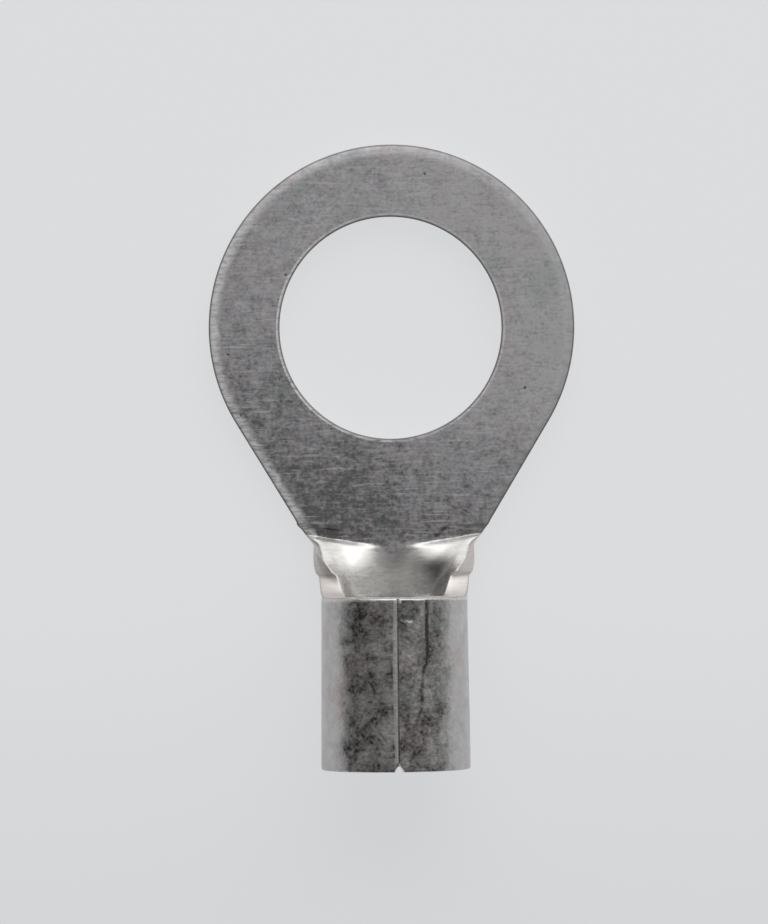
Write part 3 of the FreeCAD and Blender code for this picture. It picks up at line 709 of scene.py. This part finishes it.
# painted shade: the tongue darker towards its foot and its left, away from the light
foot = add(tree, "MapRange", eased, Value=axes["Y"], span=finish["foot"])
tone = add(tree, "Math", plus, i0=tone, i1=foot)
tone = add(tree, "Math", timesPlus, i0=axes["X"], i1=finish["rightward"], i2=tone)
flat = add(tree, "ValToRGB", i0=tone)
for i, (at, name) in enumerate(finish["rampStops"]):
    point = flat.color_ramp.elements[i] if i < 2 else flat.color_ramp.elements.new(at)
    point.position, point.color = at, linear(tin[name])
pink = add(tree, "MapRange", Value=cast, span=finish["pink"])
green = add(tree, "MapRange", Value=cast, span=finish["green"])
for share, name in ((pink, "pinkCast"), (green, "greenCast")):
    flat = add(tree, "Mix", tinted, i0=share, i6=flat, i7=linear(tin[name]))

# the rolled edge: paler, with streaks across it, and a thin grey line along the outline
fromEdge = add(tree, "Math", timesPlus, i0=mottle, i1=finish["edgeMottle"], i2=edgeAxes["Y"])
nearEdge = add(tree, "MapRange", eased, Value=fromEdge, span=finish["edgeReach"])
streak = add(tree, "MapRange", Value=streak, span=finish["streaks"])
pale = add(tree, "Math", times, i0=nearEdge, i1=streak)
outer = add(tree, "Math", isBelow, i0=edgeAxes["X"], i1=holeStart - 10.0)      # all but the hole's edge
upper = add(tree, "Math", isBelow, i0=outside, i1=0.5)
outer = add(tree, "Math", times, i0=outer, i1=upper)
paleLeft = add(tree, "MapRange", eased, Value=axes["X"], span=finish["paleLeft"])
tip = add(tree, "MapRange", eased, Value=axes["Y"], span=finish["tip"])
for share in (outer, paleLeft, tip):
    pale = add(tree, "Math", times, i0=pale, i1=share)
flat = add(tree, "Mix", colours, i0=pale, i6=flat, i7=linear(tin["edge"]))
right = add(tree, "MapRange", Value=axes["X"], span=finish["greyRight"])
for share in (nearEdge, outer):
    right = add(tree, "Math", times, i0=right, i1=share)
outline = add(tree, "MapRange", eased, Value=edgeAxes["Y"], span=finish["outline"])
for share in (right, outline):
    flat = add(tree, "Mix", colours, i0=share, i6=flat, i7=linear(tin["dark"]))

# the burnished scoop, with its painted shade: soft dark patches where it turns away from the light
scoopTone = add(tree, "MapRange", Value=rub, span=finish["scoopTone"])
scoopColour = add(tree, "Mix", tinted, i0=1.0, i6=linear(tin["scoop"]), i7=scoopTone)
scoopColour = add(tree, "Mix", colours, i0=scoopShaded, i6=scoopColour, i7=linear(tin["pit"]))
colour = add(tree, "Mix", colours, i0=scoop, i6=flat, i7=scoopColour)

# the greyed outside of the barrel, patchy, with painted shade left of its middle, and clean along its rim and
# the left wing's edge
barrel = add(tree, "MapRange", eased, Value=axes["Y"], span=finish["barrelFrom"])
onRim = add(tree, "MapRange", eased, Value=edgeAxes["Y"], span=finish["rimClean"])
onSeam = add(tree, "MapRange", eased, Value=edgeAxes["Y"], span=finish["seamClean"])
leftWing = add(tree, "Math", isBelow, i0=edgeAxes["X"], i1=0.0)
aheadOfEnd = add(tree, "Math", isAbove, i0=axes["Y"], i1=finish["seamStop"])
for share in (aheadOfEnd, onSeam):
    leftWing = add(tree, "Math", times, i0=leftWing, i1=share)
atRim = add(tree, "Math", isAbove, i0=axes["Y"], i1=finish["rimStop"])
clean = add(tree, "Math", times, i0=atRim, i1=onRim)
clean = add(tree, "Math", larger, i0=leftWing, i1=clean)
greyed = add(tree, "Math", timesPlus, i0=clean, i1=finish["cleanGrey"], i2=1.0)
patinaTone, *shares = finish["patina"]
for pattern, share in zip((patch, grain), shares):
    patinaTone = add(tree, "Math", timesPlus, i0=pattern, i1=share, i2=patinaTone)
# painted shade: darker left of the barrel's middle, which faces the dark left of the studio
leftShade = add(tree, "MapRange", eased, Value=axes["X"], span=finish["leftShade"])
patinaTone = add(tree, "Math", plus, i0=patinaTone, i1=leftShade)
sideways = add(tree, "Math", unsigned, i0=axes["X"])      # the sides are cleaner
sideways = add(tree, "Math", timesPlus, i0=patch, i1=finish["sideRagged"], i2=sideways)
sideways = add(tree, "MapRange", eased, Value=sideways, span=finish["side"])
patinaTone = add(tree, "Mix", numbers, i0=sideways, i2=patinaTone, i3=finish["sideTone"])
patina = add(tree, "Mix", colours, i0=patinaTone, i6=linear(tin["patinaDark"]), i7=linear(tin["patinaLight"]))
for share, name in ((pink, "patinaPink"), (green, "patinaGreen")):
    patina = add(tree, "Mix", tinted, i0=share, i6=patina, i7=linear(tin[name]))
patinaShare = add(tree, "Math", times, i0=barrel, i1=greyed)
patinaShare = add(tree, "Math", timesClamped, i0=patinaShare, i1=outside)
bright = add(tree, "Math", times, i0=clean, i1=outside)
brighter = add(tree, "Math", timesPlus, i0=atRim, i1=finish["rimBrighter"], i2=finish["seamBright"])
bright = add(tree, "Math", timesClamped, i0=bright, i1=brighter)
colour = add(tree, "Mix", colours, i0=patinaShare, i6=colour, i7=patina)
colour = add(tree, "Mix", colours, i0=bright, i6=colour, i7=linear(tin["cut"]))

# the scratch: distance from a line with two bends
bends = [add(tree, "MapRange", eased, Value=axes["Y"], span=scratch[name])
         for name in ("firstBend", "lastBend")]
line = add(tree, "Math", minus, i0=bends[0], i1=bends[1])
for pattern, name in ((mottle, "wander"), (grain, "shiver")):
    line = add(tree, "Math", timesPlus, i0=pattern, i1=scratch[name], i2=line)
line = add(tree, "Math", minus, i0=axes["X"], i1=line)
line = add(tree, "Math", plus, i0=line, i1=scratch["shift"])
line = add(tree, "Math", unsigned, i0=line)
line = add(tree, "MapRange", eased, Value=line, span=scratch["width"])
gaps = add(tree, "MapRange", eased, Value=patch, span=scratch["gaps"])
end = add(tree, "MapRange", Value=axes["Y"], span=scratch["end"])
above = add(tree, "Math", isAbove, i0=axes["Z"], i1=scratch["above"])
for share in (gaps, patinaShare, end, above):
    line = add(tree, "Math", times, i0=line, i1=share)

# pits, the dark marks, and the cut faces with fine shear marks across them and the painted shade of the left
# cut's stripe
notScoop = add(tree, "Math", minus, i0=1.0, i1=scoop)
dirt = add(tree, "Math", times, i0=pit, i1=finish["pitStrength"])
dirt = add(tree, "Math", times, i0=dirt, i1=notScoop)
for mark in (grimeMark, line):
    dirt = add(tree, "Math", larger, i0=dirt, i1=mark)
colour = add(tree, "Mix", colours, i0=dirt, i6=colour, i7=linear(tin["pit"]))
cutDark = add(tree, "MapRange", eased, Value=axes["Y"], span=finish["beforeShoulder"])
cutDark = add(tree, "Math", timesPlus, i0=darkCut, i1=finish["darkCut"], i2=cutDark)
shearDark = add(tree, "MapRange", Value=shear, span=finish["shear"])
cutDark = add(tree, "Math", plusClamped, i0=cutDark, i1=shearDark)
cutColour = add(tree, "Mix", colours, i0=cutDark, i6=linear(tin["cut"]), i7=linear(tin["pit"]))
colour = add(tree, "Mix", colours, i0=cut, i6=colour, i7=cutColour)

# roughness and fine bump
rough = add(tree, "MapRange", Value=grain, span=finish["rough"])
scoopRough = add(tree, "MapRange", Value=rub, span=finish["scoopRough"])
rough = add(tree, "Mix", numbers, i0=scoop, i2=rough, i3=scoopRough)
edgeRough = add(tree, "Math", times, i0=nearEdge, i1=notScoop)
edgeRough = add(tree, "Math", times, i0=edgeRough, i1=upper)
rough = add(tree, "Mix", numbers, i0=edgeRough, i2=rough, i3=finish["edgeRough"])
torn = add(tree, "Math", timesPlus, i0=mottle, i1=finish["torn"], i2=outside)
cutRough = add(tree, "MapRange", eased, Value=torn, span=finish["cutRough"])
rough = add(tree, "Mix", numbers, i0=cut, i2=rough, i3=cutRough)
height = add(tree, "Math", timesPlus, i0=rub, i1=finish["rubBump"], i2=mottle)
height = add(tree, "Math", timesPlus, i0=dirt, i1=finish["dirtBump"], i2=height)
shearHeight = add(tree, "Math", times, i0=shear, i1=finish["shearBump"])
height = add(tree, "Mix", numbers, i0=cut, i2=height, i3=shearHeight)
strength = add(tree, "Math", timesPlus, i0=scoop, i1=finish["scoopBump"], i2=finish["bump"])
strength = add(tree, "Math", timesPlus, i0=patinaShare, i1=finish["patinaBump"], i2=strength)
bump = add(tree, "Bump", Strength=strength, Distance=tin["bumpHeight"] * mm, Height=height)
shader = add(tree, "BsdfPrincipled", Base_Color=colour, Metallic=1.0, Roughness=rough, Normal=bump)
add(tree, "OutputMaterial", Surface=shader)
terminal.data.materials.append(material)

print("stage 4: floor, light and camera")

stage = {
    "floor": "#e6e7e9", "floorSize": 0.6,
    "floorGlow": 0.78,      # how much of its colour is even, to the camera and in reflections
    "floorNear": (-23.0 * mm, -9.0 * mm, 0.93, 1.0),        # painted shade: a little darker towards the wire end, as the light falls off
    "level": 0.31,          # of the studio's walls, which are brighter to the right and the left
    "rightMore": 0.12, "leftMore": (0.0, -1.0, 0.0, 0.09),
    "nearLess": 0.2,        # and darker on the wire end's side
    # a pale wall beyond the ring's tip, and a dark corner to the left of it: direction, dot
    # product at its edge and at its middle, and change of level
    "walls": (((0.14, 0.96, 0.24), 0.62, 0.8, 0.75), ((-0.785, 0.453, 0.423), 0.84, 0.97, -0.17)),
    "lampAt": (0.055, 0.3, 0.352), "lampAim": (0.0, -0.008, 0.0),
    "lampSize": (0.66, 0.3), "lampPower": 0.44,
    "cameraAt": (-0.3355 * mm, -5.0928 * mm, 250.9 * mm), "cameraTurn": -0.59, "lens": 257.4,
}

floorMesh = bpy.data.meshes.new("floor")
half = stage["floorSize"] / 2
corners = [(-half, -half, 0), (half, -half, 0), (half, half, 0), (-half, half, 0)]
floorMesh.from_pydata(corners, [], [(0, 1, 2, 3)])
floor = bpy.data.objects.new("floor", floorMesh)
bpy.context.scene.collection.objects.link(floor)
material, tree = newMaterial("pale paper floor")
path = add(tree, "LightPath").outputs
seen = add(tree, "Math", larger, i0=path["Is Camera Ray"], i1=path["Is Glossy Ray"])
seen = add(tree, "Math", times, i0=seen, i1=stage["floorGlow"])
diffuse = add(tree, "BsdfDiffuse", Color=linear(stage["floor"]))
near = add(tree, "SeparateXYZ", i0=add(tree, "TexCoord").outputs["Object"])
# painted shade: the floor's glow falls off towards the wire end
near = add(tree, "MapRange", eased, Value=near.outputs["Y"], span=stage["floorNear"])
glow = add(tree, "Emission", Color=linear(stage["floor"]), Strength=near)
mix = add(tree, "MixShader", i0=seen, i1=diffuse, i2=glow)
add(tree, "OutputMaterial", Surface=mix)
floorMesh.materials.append(material)

world = bpy.data.worlds.new("studio")
bpy.context.scene.world = world
world.use_nodes = True
tree = world.node_tree
tree.nodes.clear()
way = add(tree, "TexCoord").outputs["Generated"]
axes = add(tree, "SeparateXYZ", i0=way).outputs
right = add(tree, "Math", larger, i0=axes["X"], i1=0.0)
near = add(tree, "Math", smaller, i0=axes["Y"], i1=0.0)
level = add(tree, "Math", timesPlus, i0=right, i1=stage["rightMore"], i2=stage["level"])
level = add(tree, "Math", timesPlus, i0=near, i1=stage["nearLess"], i2=level)
left = add(tree, "MapRange", Value=axes["X"], span=stage["leftMore"])
level = add(tree, "Math", plus, i0=level, i1=left)
for direction, start, stop, change in stage["walls"]:
    toward = add(tree, "VectorMath", {"operation": "DOT_PRODUCT"}, i0=way, i1=direction)
    wall = add(tree, "MapRange", eased, Value=toward.outputs["Value"], span=(start, stop, 0.0, change))
    level = add(tree, "Math", plus, i0=level, i1=wall)
back = add(tree, "Background", Color=(1.0, 1.0, 1.0, 1.0), Strength=level)
add(tree, "OutputWorld", Surface=back)

# one soft box beyond the ring's tip
lamp = bpy.data.lights.new("tipBox", "AREA")
lamp.shape = "RECTANGLE"
lamp.size, lamp.size_y = stage["lampSize"]
lamp.energy = stage["lampPower"]
lampStand = bpy.data.objects.new("tipBox", lamp)
bpy.context.scene.collection.objects.link(lampStand)
way = mathutils.Vector(stage["lampAim"]) - mathutils.Vector(stage["lampAt"])
lampStand.location = stage["lampAt"]
lampStand.rotation_euler = way.to_track_quat("-Z", "Y").to_euler()

camera = bpy.data.cameras.new("camera")
camera.lens = stage["lens"]
camera.sensor_width = 36.0
camera.clip_start = 0.01
camera.clip_end = 5.0
eye = bpy.data.objects.new("camera", camera)
bpy.context.scene.collection.objects.link(eye)
eye.location = stage["cameraAt"]
eye.rotation_euler = (0.0, 0.0, math.radians(stage["cameraTurn"]))
bpy.context.scene.camera = eye
bpy.context.scene.view_settings.view_transform = "Standard"
